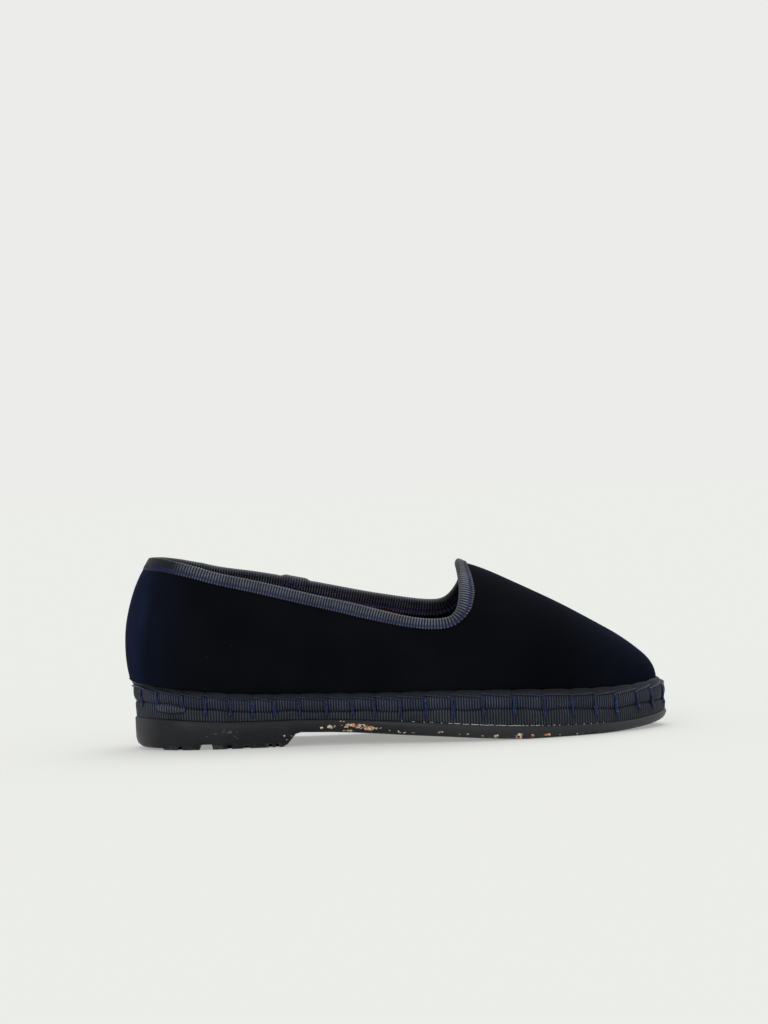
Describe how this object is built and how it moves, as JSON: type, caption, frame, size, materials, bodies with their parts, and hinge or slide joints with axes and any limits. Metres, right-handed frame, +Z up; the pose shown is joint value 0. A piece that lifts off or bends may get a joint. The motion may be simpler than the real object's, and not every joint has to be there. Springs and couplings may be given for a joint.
{
  "type": "velvet slipper loafer",
  "caption": "Right-foot slip-on loafer with a velvet upper, a ribbon-bound collar, a blanket-stitched ribbon welt and a low-heeled rubber sole.",
  "frame": {"origin": "on the floor under the middle of the shoe", "axes": "+X towards the toe, +Y towards the inner side of the foot, +Z up"},
  "size_m": [0.2591, 0.0897, 0.091],
  "materials": {
    "black_rubber": "satin moulded rubber",
    "navy_ribbon": "ribbed ribbon",
    "navy_velvet": "cut-pile velvet",
    "crimson_lining": "matte woven cotton"
  },
  "bodies": {
    "root": {"outsole": "black_rubber", "midsole": "navy_ribbon", "welt": "navy_ribbon", "insole": "crimson_lining", "upper": "navy_velvet", "collar_binding": "navy_ribbon"}
  },
  "joints": []
}
